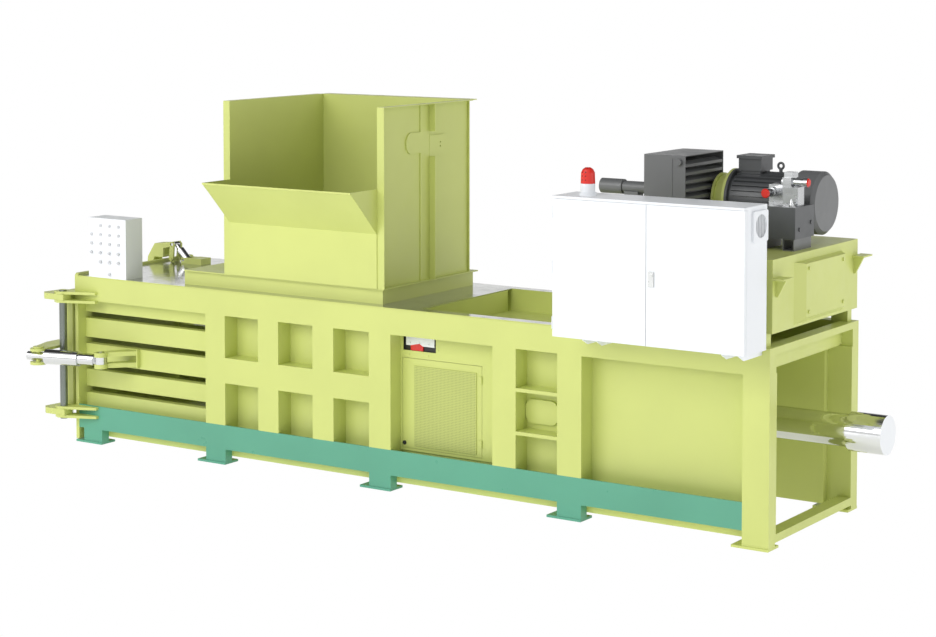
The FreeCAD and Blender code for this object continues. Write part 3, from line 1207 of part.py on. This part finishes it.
# ---------------------------------------------------------------- side panels in the bays
bay4_lo = posts_x[3] + s.post_w / 2
bay4_hi = posts_x[4] - s.post_w / 2
panel_y = (-skin_out - 16, -skin_out - 12)
leaf_x = (bay4_lo + 12, bay4_hi - 123)
leaf_z = (rail_hi + 2, beam_lo - 130)
sash_z = beam_lo - 91
bay_low = rail_hi - 12
bay_rects = [
    ((bay4_lo, bay4_lo + 17), (sash_z, beam_lo)), ((bay4_lo, bay4_hi), (leaf_z[1], sash_z)),
    ((bay4_lo + 226, bay4_hi), (sash_z, beam_lo)), ((bay4_lo, leaf_x[0]), (bay_low, leaf_z[1])),
    ((leaf_x[1], bay4_hi), (bay_low, leaf_z[1])), ((leaf_x[0], leaf_x[1]), (bay_low, leaf_z[0])),
]
bay_screws = [[(8, -77)], [(57, -112), (179, -111)], [(241, -77)], [], [], []]
bay_sheets = []
for n, ((x, z), spots) in enumerate(zip(bay_rects, bay_screws)):
    sheet = [box("bay_sheet%d" % n, x, panel_y, z)]
    for k, (sx, sz) in enumerate(spots):
        spot = (bay4_lo + sx, beam_lo + sz)
        sheet.append(rod("bay_screw%d%d" % (n, k), "Y", 4, panel_y[0] - 3, panel_y[0] + 1, spot))
    bay_sheets.append(joined("bay_weld%d" % n, sheet) if spots else sheet[0])
strips = []
for n, (x, low) in enumerate((((bay4_lo, bay4_lo + 3), rail_hi + 80), ((bay4_hi - 3, bay4_hi), rail_hi))):
    strips.append(box("bay_strip%d" % n, x, (panel_y[1], -skin_out), (low, beam_lo)))
unit_y = (-skin_out - 11, -skin_out - 2)
back_y = (-skin_out - 3, -skin_out)
unit_back = box("unit_back", (bay4_lo + 12, bay4_lo + 232), back_y, (beam_lo - 100, beam_lo))
unit_body = box("unit_body", (bay4_lo + 32, bay4_lo + 212), unit_y, (beam_lo - 64, beam_lo - 2))
unit_key = box("unit_key", (bay4_lo + 62, bay4_lo + 140), unit_y, (beam_lo - 90, beam_lo - 64))
unit_holes = []
for n in range(3):
    spot = (bay4_lo + 62 + 58 * n, beam_lo - 48)
    unit_holes.append(rod("unit_hole%d" % n, "Y", 4, -skin_out - 12, -skin_out - 6, spot))
unit = minus("bay_unit", joined("unit_weld", [unit_back, unit_body, unit_key]), unit_holes)
cap_x = (bay_five[0] + 2, bay_five[0] + 195)
cap_z = (rail_hi + 222, rail_hi + 345)
cap_loop = [(cap_x[0], cap_z[0]), (cap_x[1], cap_z[0]), (cap_x[1], cap_z[1]), (cap_x[0], cap_z[1])]
cap_cover = prism("cable_cover", "XZ", [cap_loop], -skin_out - 16, -skin_out, corners=[(45, cap_loop)])
node("bay_panels", group("bay_panel_set", bay_sheets + [unit, cap_cover] + strips))

# The access leaf has a raised field and turns on two knuckles in front of its right edge.
access_x = (leaf_x[0] + 2, leaf_x[1] - 2)
access_z = (leaf_z[0] + 2, leaf_z[1] - 2)
field_y = (panel_y[0] - 4, panel_y[0])
field_z = (rail_hi + 16, beam_lo - 169)
lock_at = (bay4_lo + 26, rail_hi + 28)
lock_hole = rod("access_lock_hole", "Y", 8, panel_y[0] - 10, panel_y[1] + 10, lock_at)
access_sheet = box("access_sheet", access_x, panel_y, access_z)
access_parts = [
    minus("access_plate", access_sheet, [lock_hole]),
    box("access_raised", (bay4_lo + 89, bay4_hi - 156), field_y, field_z),
]
for n, share in enumerate((0.15, 0.85)):
    level = access_z[0] + (access_z[1] - access_z[0]) * share
    span = (level - 20, level + 20)
    tab = box("access_tab%d" % n, (access_x[1] - 20, access_x[1]), field_y, span)
    bead = rod("access_bead%d" % n, "Z", 4, span[0], span[1], (access_x[1], panel_y[0] - 4))
    access_parts.append(joined("access_knuckle%d" % n, [tab, bead]))
node("access_door", group("access_leaf", access_parts))
lock_face = rod("access_lock_face", "Y", 11, panel_y[0] - 5, panel_y[0] - s.slip, lock_at)
lock_stem = rod("access_lock_stem", "Y", 7.7, panel_y[0] - 2, -skin_out - 6, lock_at)
lock_tongue = box("access_lock_tongue", (lock_at[0] - 7, lock_at[0] + 7), (-skin_out - 10, -skin_out - 6),
                  (lock_at[1] - 7, lock_at[1] + 21))
node("access_lock", joined("access_lock_body", [lock_face, lock_stem, lock_tongue]))

# ---------------------------------------------------------------- finish
doc.recompute()
bad = []
for obj in doc.Objects:
    if "Invalid" in obj.State or "Error" in obj.State:
        bad.append((obj.Name, obj.State))
for obj in nodes:
    if obj.Shape.isNull() or not obj.Shape.isValid() or not obj.Shape.Solids:
        bad.append((obj.Label, "shape"))
if bad:
    raise RuntimeError("faulty objects: %s" % bad)
os.makedirs("parts", exist_ok=True)
for obj in nodes:
    obj.Shape.exportStep("parts/%s.step" % obj.Label)
print(len(nodes), "pieces")
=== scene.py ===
# %% [markdown]
# # Recycling baler
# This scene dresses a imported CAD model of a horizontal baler: a long welded press frame with a
# feed hopper, a hinged discharge door, a tank-top power pack and an electrical cabinet. The CAD
# solids stay on show as they are, so the work is in paint, metal and light.

import bpy
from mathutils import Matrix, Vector


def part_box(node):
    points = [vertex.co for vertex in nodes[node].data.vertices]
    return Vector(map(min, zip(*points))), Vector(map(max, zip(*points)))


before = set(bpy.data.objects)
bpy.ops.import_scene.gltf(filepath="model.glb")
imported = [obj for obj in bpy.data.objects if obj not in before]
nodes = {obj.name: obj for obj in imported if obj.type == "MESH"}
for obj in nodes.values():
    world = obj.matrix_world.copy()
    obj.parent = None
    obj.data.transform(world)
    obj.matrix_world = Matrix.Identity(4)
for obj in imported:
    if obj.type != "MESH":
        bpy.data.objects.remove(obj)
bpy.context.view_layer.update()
FRONT, HALF = -2.2215, 0.510  # door-end face of the frame, and half its width

# %% [markdown]
# ## Colour handling
# The enamel on this machine is a clear, saturated yellow-green. Blender's default view transform
# softens strong colours and greys out white, which suits high-contrast daylight. A catalogue
# picture on white is better served by the Standard transform, which shows a paint's own colour.

# %% Plain colour handling
bpy.context.scene.view_settings.view_transform = "Standard"
print("view", bpy.context.scene.view_settings.view_transform)

# %% [markdown]
# ## The camera
# The camera was solved from points on the frame, the cabinet and the hopper. It looks down very
# little, and a vertical shift moves the machine in the picture instead of more tilt.
# That keeps the posts nearly parallel, as they are with an architect's lens.

# %% Camera
cam_data = bpy.data.cameras.new("camera")
cam_data.lens = 84.40
cam_data.sensor_width = 36.0
cam_data.shift_x = -0.0039
cam_data.shift_y = -0.2315
cam_data.clip_end = 200.0
camera = bpy.data.objects.new("camera", cam_data)
bpy.context.scene.collection.objects.link(camera)
camera.location = (6.6973, -9.7704, 2.7423)
look = Vector((-0.55247, 0.83135, -0.06027)).normalized()
camera.rotation_euler = look.to_track_quat("-Z", "Y").to_euler()
bpy.context.scene.camera = camera
print("camera at", tuple(camera.location))

# %% [markdown]
# ## Small helpers for shader nodes
# A material is a tree of nodes, and most lines of such a tree say the same few things: make a
# node, set its values, join its sockets. One helper for that keeps each recipe short.

# %% Node helpers


def add(tree, kind, links=None, **values):
    """A node with its properties, default inputs and incoming links."""
    item = tree.nodes.new(kind)
    for key, value in values.items():
        if hasattr(item, key):
            setattr(item, key, value)
        else:
            item.inputs[key.replace("_", " ")].default_value = value
    for socket, source in (links or {}).items():
        tree.links.new(source, item.inputs[socket])
    return item


def new_group(name, inputs, outputs):
    """A shader node group with its sockets, returned with its input and output nodes."""
    group = bpy.data.node_groups.new(name, "ShaderNodeTree")
    for label, kind, value in inputs:
        socket = group.interface.new_socket(label, in_out="INPUT", socket_type=kind)
        socket.default_value = value
    for label, kind in outputs:
        group.interface.new_socket(label, in_out="OUTPUT", socket_type=kind)
    return group, group.nodes.new("NodeGroupInput"), group.nodes.new("NodeGroupOutput")


# %% [markdown]
# ## Paint effects, shared by every finish
# Enamel on plate is never one flat colour. One node group gives what all the finishes share: a
# slow cloudiness for the colour, a finer dust pattern for the gloss, and the orange-peel ripple
# of sprayed paint. It puts out values and a normal only, and each material decides their use.

# %% The paint effects group


def paint_effects():
    """Cloud, dust and ripple for every sprayed or plated surface."""
    group, inside, out = new_group(
        "paint effects",
        [("Scale", "NodeSocketFloat", 1.0), ("Ripple", "NodeSocketFloat", 0.05)],
        [("Cloud", "NodeSocketFloat"), ("Dust", "NodeSocketFloat"), ("Normal", "NodeSocketVector")],
    )
    place = add(group, "ShaderNodeTexCoord")
    sized = add(group, "ShaderNodeVectorMath", operation="SCALE")
    group.links.new(place.outputs["Object"], sized.inputs[0])
    group.links.new(inside.outputs["Scale"], sized.inputs["Scale"])
    cloud = add(group, "ShaderNodeTexNoise", {"Vector": sized.outputs[0]}, Scale=2.2, Detail=3.0)
    dust = add(group, "ShaderNodeTexNoise", {"Vector": sized.outputs[0]}, Scale=14.0, Detail=6.0)
    ripple = add(group, "ShaderNodeTexNoise", {"Vector": sized.outputs[0]}, Scale=260.0, Detail=2.0)
    bump = add(group, "ShaderNodeBump", {"Height": ripple.outputs["Fac"]}, Distance=0.0006)
    group.links.new(inside.outputs["Ripple"], bump.inputs["Strength"])
    group.links.new(cloud.outputs["Fac"], out.inputs["Cloud"])
    group.links.new(dust.outputs["Fac"], out.inputs["Dust"])
    group.links.new(bump.outputs["Normal"], out.inputs["Normal"])
    return group


EFFECTS = paint_effects()
print("group", EFFECTS.name, "with", len(EFFECTS.nodes), "nodes")

# %% [markdown]
# ## One recipe for paint, plate and plastic
# The finishes of this machine differ in colour, gloss and how far the cloudiness goes, so one
# recipe with those values makes them all. The colour ramp turns the cloud into two tones of the
# same colour, and a map range turns the dust into a slightly uneven gloss.

# %% The finish recipe


def tone(colour, factor):
    """A lighter or darker version of an RGB colour, with alpha."""
    return tuple(min(1.0, c * factor) for c in colour) + (1.0,)


def paint(name, colour, rough=0.4, metallic=0.0, spread=0.06, ripple=0.05, scale=1.0, coat=0.0):
    """A painted, plated or moulded surface with cloudy colour, uneven gloss and a ripple."""
    mat = bpy.data.materials.new(name)
    mat.use_nodes = True
    tree = mat.node_tree
    shader = tree.nodes["Principled BSDF"]
    fx = tree.nodes.new("ShaderNodeGroup")
    fx.node_tree = EFFECTS
    fx.inputs["Scale"].default_value = scale
    fx.inputs["Ripple"].default_value = ripple
    ramp = add(tree, "ShaderNodeValToRGB", {"Fac": fx.outputs["Cloud"]})
    low, high = ramp.color_ramp.elements
    low.position, low.color = 0.3, tone(colour, 1.0 - spread)
    high.position, high.color = 0.7, tone(colour, 1.0 + spread)
    tree.links.new(ramp.outputs["Color"], shader.inputs["Base Color"])
    gloss = add(
        tree, "ShaderNodeMapRange", {"Value": fx.outputs["Dust"]}, From_Min=0.3, From_Max=0.7,
        To_Min=max(0.03, rough - 0.06), To_Max=rough + 0.08,
    )
    tree.links.new(gloss.outputs["Result"], shader.inputs["Roughness"])
    tree.links.new(fx.outputs["Normal"], shader.inputs["Normal"])
    shader.inputs["Metallic"].default_value = metallic
    shader.inputs["Coat Weight"].default_value = coat
    return mat


# %% [markdown]
# ## The machine's finishes
# The body is a light yellow-green enamel over teal feet and rails. The power pack is dark grey,
# the cabinets are white powder coat, and the deck is a bare bright plate that mirrors the foot
# of the hopper.

# %% Finishes
GREEN = paint("green enamel", (0.600, 0.655, 0.200), rough=0.36, spread=0.03)
TEAL = paint("teal enamel", (0.105, 0.365, 0.250), rough=0.33, spread=0.05)
DECK = paint(
    "bright deck plate", (0.53, 0.54, 0.52), rough=0.13, metallic=0.9, spread=0.04, ripple=0.02,
)
WHITE = paint(
    "white powder coat", (0.85, 0.875, 0.905), rough=0.34, spread=0.01, ripple=0.10, scale=1.6,
)
DARK = paint("dark grey enamel", (0.080, 0.084, 0.088), rough=0.36, spread=0.10, ripple=0.10)
CASING = paint("grey enamel", (0.150, 0.154, 0.157), rough=0.34, spread=0.06, ripple=0.10)
BLACK = paint("black oxide", (0.020, 0.021, 0.022), rough=0.42, spread=0.15)
CHROME = paint(
    "hard chrome", (0.66, 0.665, 0.67), rough=0.07, metallic=1.0, spread=0.02, ripple=0.01,
)
STEEL = paint("machined steel", (0.56, 0.57, 0.58), rough=0.26, metallic=1.0, spread=0.08)
SHAFT = paint("oiled steel", (0.20, 0.22, 0.20), rough=0.30, metallic=0.9, spread=0.12)
RED = paint("red plastic", (0.70, 0.030, 0.020), rough=0.20, spread=0.05, ripple=0.0)
KEY = paint("grey plastic", (0.60, 0.61, 0.63), rough=0.38, spread=0.04)
ZINC = paint("zinc plate", (0.66, 0.67, 0.66), rough=0.30, metallic=0.9, spread=0.10, scale=5.0)
print("finishes", len(bpy.data.materials))

# %% [markdown]
# ## Dotted finishes
# The leaf in the fourth bay has a field of fine round holes, far too many to cut, and the beacon's
# lens shows its rows of lights as dark spots. A Voronoi texture with no randomness lays a regular
# grid of dots, flat for the sheet and in space for the dome. The dots darken the base colour, and
# they stay in place from every view.

# %% Dots on a finish
DOT_EDGE = 0.07  # width of a dot's soft rim, as a share of the pitch


def dotted(mat, pitch, dark, size, flat=False):
    """Adds a regular grid of dark dots to a finish, in the XZ plane or in space."""
    tree = mat.node_tree
    shader = tree.nodes["Principled BSDF"]
    place = add(tree, "ShaderNodeTexCoord")
    spot = place.outputs["Object"]
    if flat:
        parts = add(tree, "ShaderNodeSeparateXYZ", {"Vector": spot})
        plane = {"X": parts.outputs["X"], "Y": parts.outputs["Z"]}
        spot = add(tree, "ShaderNodeCombineXYZ", plane).outputs[0]
    cells = add(
        tree, "ShaderNodeTexVoronoi", {"Vector": spot}, voronoi_dimensions="2D" if flat else "3D",
        Scale=1.0 / pitch, Randomness=0.0,
    )
    hole = add(
        tree, "ShaderNodeMapRange", {"Value": cells.outputs["Distance"]}, From_Min=size,
        From_Max=size + DOT_EDGE, To_Min=1.0, To_Max=0.0,
    )
    old = shader.inputs["Base Color"].links[0].from_socket
    mix = add(tree, "ShaderNodeMix", {"Factor": hole.outputs["Result"]}, data_type="RGBA")
    tree.links.new(old, mix.inputs[6])
    mix.inputs[7].default_value = tone(dark, 1.0)
    tree.links.new(mix.outputs[2], shader.inputs["Base Color"])
    return mat


MESH = dotted(
    paint("perforated enamel", (0.52, 0.570, 0.17), rough=0.40, spread=0.03),
    pitch=0.0085, dark=(0.20, 0.24, 0.05), size=0.20, flat=True,
)
LENS = dotted(
    paint("red lens", (0.70, 0.030, 0.020), rough=0.15, ripple=0.0),
    pitch=0.019, dark=(0.10, 0.004, 0.004), size=0.16,
)
print("dotted", MESH.name, LENS.name)

# %% [markdown]
# ## Paint on the CAD pieces
# Each CAD piece gets its main finish by name. Everything that isn't in the table is green.

# %% Main finish of each piece
FINISH = {"base_rails": TEAL, "feet": TEAL, "top_plate": DECK, "motor_rotor": STEEL, "switchgear": ZINC}
for name in ("cabinet_body", "cabinet_door_left", "cabinet_door_right", "control_box", "beacon"):
    FINISH[name] = WHITE
for name in ("main_motor", "valve_block", "pump_unit", "cooler_fan"):
    FINISH[name] = DARK
for name in ("fan_cowl", "oil_cooler"):
    FINISH[name] = CASING
for name in ("piston_rod", "door_rod", "lock_rod", "lock_barrel", "door_barrel", "main_cylinder"):
    FINISH[name] = CHROME
for name in ("valve_knob_low", "valve_knob_high"):
    FINISH[name] = STEEL
FINISH["cabinet_handle"] = ZINC
FINISH["access_lock"] = BLACK
FINISH["lamps"] = KEY

for name, piece in nodes.items():
    mat = KEY if name.startswith("button_") else FINISH.get(name, GREEN)
    piece.data.materials.clear()
    piece.data.materials.append(mat)
print("painted", len(nodes))

# %% [markdown]
# ## Second finishes on one piece
# Some pieces have more than one finish: a red lens on a white foot, a dark shaft between green
# ears. The faces that get the second finish are picked by where their centres are and which way
# they face, so the choice holds however the mesh is cut into faces.

# %% Second finishes


def repaint(name, mat, test):
    """Gives a second finish to the faces of a node whose centre and normal pass a test."""
    mesh = nodes[name].data
    mesh.materials.append(mat)
    index = len(mesh.materials) - 1
    count = 0
    for face in mesh.polygons:
        if test(face.center, face.normal):
            face.material_index = index
            count += 1
    print("repaint", name, mat.name, count)


BEACON_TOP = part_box("beacon")[0][2] + 0.0575
HINGE_AT = Vector((FRONT - 0.030, -HALF - 0.068))
SHAFT_REACH = 0.0228
BAY4 = FRONT + 2.253
BEAM_LO = 0.832
BLOCK_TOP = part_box("oil_tank")[1][2] + 0.212
PEDESTAL_TOP = BLOCK_TOP - 0.153
BELL_START = FRONT + 3.8095
SILL_TOP, SILL_HALF = 0.0851, 0.466
CAP_FACE = 2.59
LEAF_FACE = -0.4205
LEAF_HOLES = (BAY4 + 0.09, BAY4 + 0.48)

repaint("beacon", LENS, lambda c, n: c.z > BEACON_TOP)
repaint("valve_knob_low", RED, lambda c, n: n.y < -0.3)
repaint("valve_knob_high", RED, lambda c, n: n.x > 0.3)
repaint("top_plate", GREEN, lambda c, n: n.y < -0.5)
repaint("valve_block", CASING, lambda c, n: c.z < PEDESTAL_TOP)
repaint("base_rails", GREEN, lambda c, n: c.z < SILL_TOP and abs(c.y) < SILL_HALF)
repaint("pump_unit", GREEN, lambda c, n: c.x > BELL_START)
repaint(
    "hinge_brackets", SHAFT,
    lambda c, n: abs(n.z) < 0.5 and (c.xy - HINGE_AT).length < SHAFT_REACH,
)
repaint("main_cylinder", WHITE, lambda c, n: n.x > 0.9 and c.x > CAP_FACE)
repaint("valve_block", STEEL, lambda c, n: c.z > BLOCK_TOP + 0.001)
repaint(
    "access_door", MESH,
    lambda c, n: n.y < -0.9 and c.y < LEAF_FACE and LEAF_HOLES[0] < c.x < LEAF_HOLES[1],
)

# %% [markdown]
# The unit behind the window of the fourth bay has three finishes: a dark backing sheet, a white
# body with three small holes, and a red block under it.

# %% The unit in the window
UNIT = (BAY4 + 0.011, BAY4 + 0.233, BEAM_LO - 0.101)


def in_unit(c, depth):
    """A face of the small unit behind the window, at least so far forward."""
    return UNIT[0] < c.x < UNIT[1] and c.z > UNIT[2] and -0.4125 < c.y < -depth


repaint("bay_panels", BLACK, lambda c, n: in_unit(c, 0.4009))
repaint("bay_panels", WHITE, lambda c, n: in_unit(c, 0.4045) and c.z > BEAM_LO - 0.0645)
repaint("bay_panels", RED, lambda c, n: in_unit(c, 0.4045) and c.z < BEAM_LO - 0.0635)

# %% [markdown]
# ## Flat shading
# Welded plate and rolled sections have flat faces, so every face is shaded flat. The edges stay
# as sharp as the CAD has them.

# %% Shading
for piece in nodes.values():
    piece.data.shade_flat()
print("flat", len(nodes))

# %% [markdown]
# ## Floor and sky
# The machine stands on a white sweep, as on a cut-out picture. Camera rays see the floor as plain
# white, and all other rays see a bright matt floor that lights the recesses from below. The sky
# does the same: white to the camera and an even grey to the paint. For reflections its upper back
# half is dark and the side in front is bright, as in a studio with one large softbox. That gives
# the chrome its dark upper band and its white middle.

# %% Floor
REACH = 60  # metres from the origin to each edge of the floor
FLOOR_GLOW = 0.48
floor_mesh = bpy.data.meshes.new("floor")
corners = [(-REACH, -REACH, 0), (REACH, -REACH, 0), (REACH, REACH, 0), (-REACH, REACH, 0)]
floor_mesh.from_pydata(corners, [], [(0, 1, 2, 3)])
floor = bpy.data.objects.new("floor", floor_mesh)
bpy.context.scene.collection.objects.link(floor)
floor_mat = bpy.data.materials.new("studio floor")
floor_mat.use_nodes = True
ground = floor_mat.node_tree
matt = ground.nodes["Principled BSDF"]
matt.inputs["Base Color"].default_value = (0.90, 0.90, 0.90, 1.0)
matt.inputs["Roughness"].default_value = 0.9
matt.inputs["Specular IOR Level"].default_value = 0.0
matt.inputs["Emission Color"].default_value = (1.0, 1.0, 1.0, 1.0)
matt.inputs["Emission Strength"].default_value = FLOOR_GLOW
plain = add(ground, "ShaderNodeEmission", Color=(1.0, 1.0, 1.0, 1.0), Strength=1.0)
rays = add(ground, "ShaderNodeLightPath")
seen = add(
    ground, "ShaderNodeMixShader",
    {0: rays.outputs["Is Camera Ray"], 1: matt.outputs["BSDF"], 2: plain.outputs["Emission"]},
)
ground.links.new(seen.outputs[0], ground.nodes["Material Output"].inputs["Surface"])
floor_mesh.materials.append(floor_mat)

# %% Sky
SKY_LEVEL, SKY_BRIGHT, SKY_DARK = 0.42, 0.95, 0.05
world = bpy.data.worlds.new("studio")
bpy.context.scene.world = world
world.use_nodes = True
sky = world.node_tree
background = sky.nodes["Background"]
paths = add(sky, "ShaderNodeLightPath")
ray = add(sky, "ShaderNodeTexCoord")
axes = add(sky, "ShaderNodeSeparateXYZ", {"Vector": ray.outputs["Generated"]})
above = add(sky, "ShaderNodeMapRange", {"Value": axes.outputs["Z"]}, From_Min=0.20, From_Max=0.32)
behind = add(sky, "ShaderNodeMapRange", {"Value": axes.outputs["Y"]}, From_Min=-0.50, From_Max=-0.20)
shade = add(
    sky, "ShaderNodeMath", {0: above.outputs["Result"], 1: behind.outputs["Result"]}, operation="MULTIPLY",
)
mirror = add(
    sky, "ShaderNodeMapRange", {"Value": shade.outputs[0]}, To_Min=SKY_BRIGHT, To_Max=SKY_DARK,
)
glossy = add(sky, "ShaderNodeMix", {0: paths.outputs["Is Glossy Ray"], 3: mirror.outputs["Result"]})
glossy.inputs[2].default_value = SKY_LEVEL
shown = add(sky, "ShaderNodeMix", {0: paths.outputs["Is Camera Ray"], 2: glossy.outputs[0]})
shown.inputs[3].default_value = 1.0
sky.links.new(shown.outputs[0], background.inputs["Strength"])
background.inputs["Color"].default_value = (1.0, 1.0, 1.0, 1.0)
print("sky", SKY_LEVEL, SKY_BRIGHT, SKY_DARK)

# %% [markdown]
# ## Lamps
# One large soft lamp stands in front and a little to the left, so the front face is brightest and
# the cylinder end darker. A weaker one to the right and behind keeps that end readable.

# %% Lamps
AIM = (0, 0, 0.8)


def area_light(name, at, size, power):
    """A rectangular soft light that points at the middle of the machine."""
    data = bpy.data.lights.new(name, "AREA")
    data.shape = "RECTANGLE"
    data.size, data.size_y = size
    data.energy = power
    lamp = bpy.data.objects.new(name, data)
    lamp.location = at
    lamp.rotation_euler = (Vector(AIM) - Vector(at)).to_track_quat("-Z", "Y").to_euler()
    bpy.context.scene.collection.objects.link(lamp)


area_light("key", (-2.0, -9.5, 6.0), (9, 6), 640)
area_light("side", (11.0, 4.0, 4.5), (8, 6), 330)
